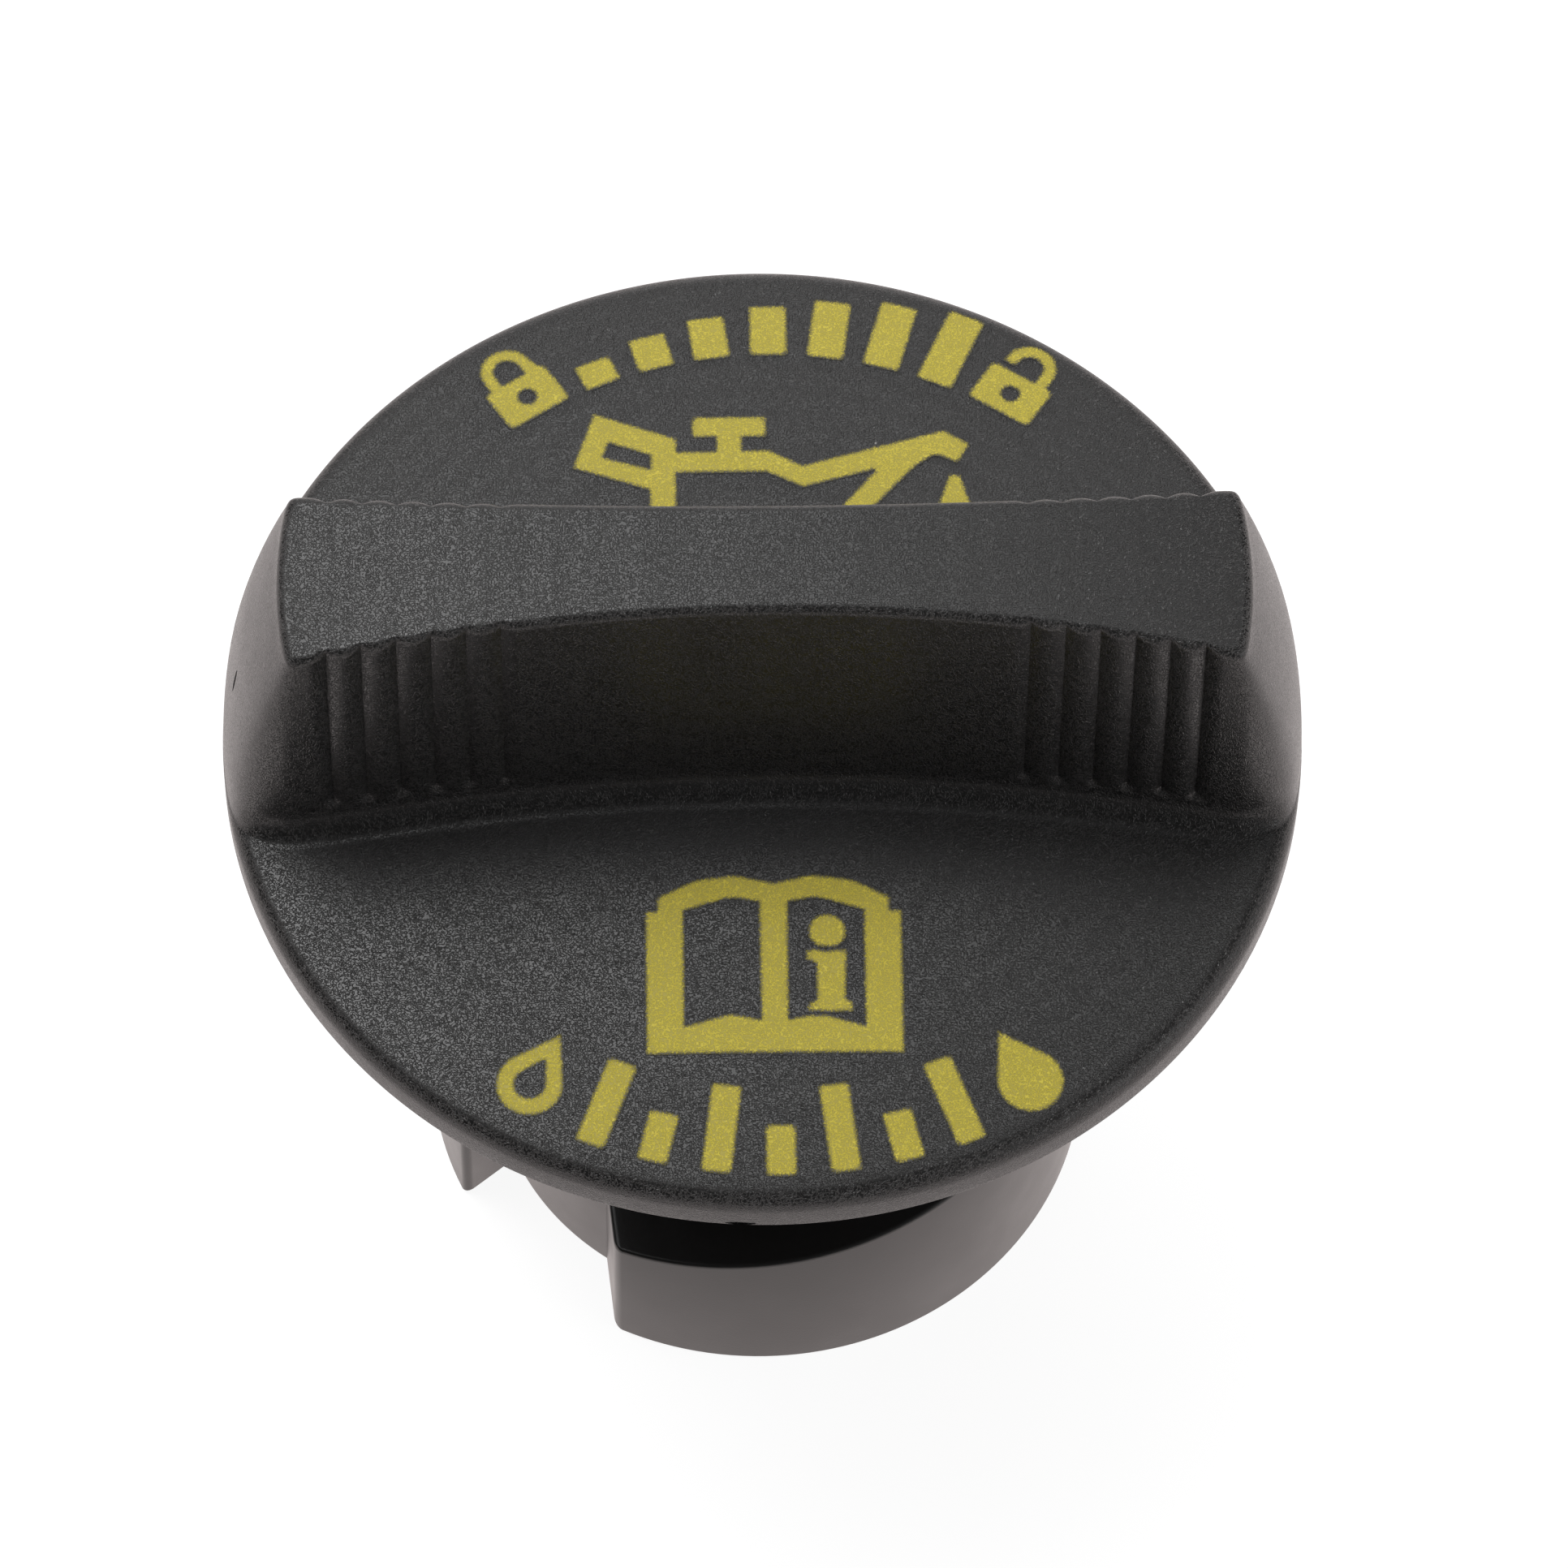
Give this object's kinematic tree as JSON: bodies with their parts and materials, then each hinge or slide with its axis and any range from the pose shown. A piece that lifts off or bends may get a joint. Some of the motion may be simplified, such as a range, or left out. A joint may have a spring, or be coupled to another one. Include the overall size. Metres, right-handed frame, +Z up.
{
  "type": "oil filler cap",
  "caption": "Black bayonet oil filler cap with a domed disc, a waisted upright grip with finger lobes, a hollow stem with ramped lugs and a sealing ring.",
  "frame": {"origin": "middle of the stem's foot, which is the lowest face of the cap", "axes": "+Z up the cap's axis from the stem's foot to the grip, X along the grip's length, Y across it"},
  "size_m": [0.066, 0.066, 0.0648],
  "materials": {
    "black_nylon": "black glass-filled nylon with a fine grained texture, smoother on the stem",
    "seal_rubber": "black moulded rubber, satin",
    "yellow_print": "thin yellow pad print on the disc's grained face"
  },
  "bodies": {
    "root": {"cap_body": "black_nylon", "sealing_ring": "seal_rubber"}
  },
  "joints": []
}
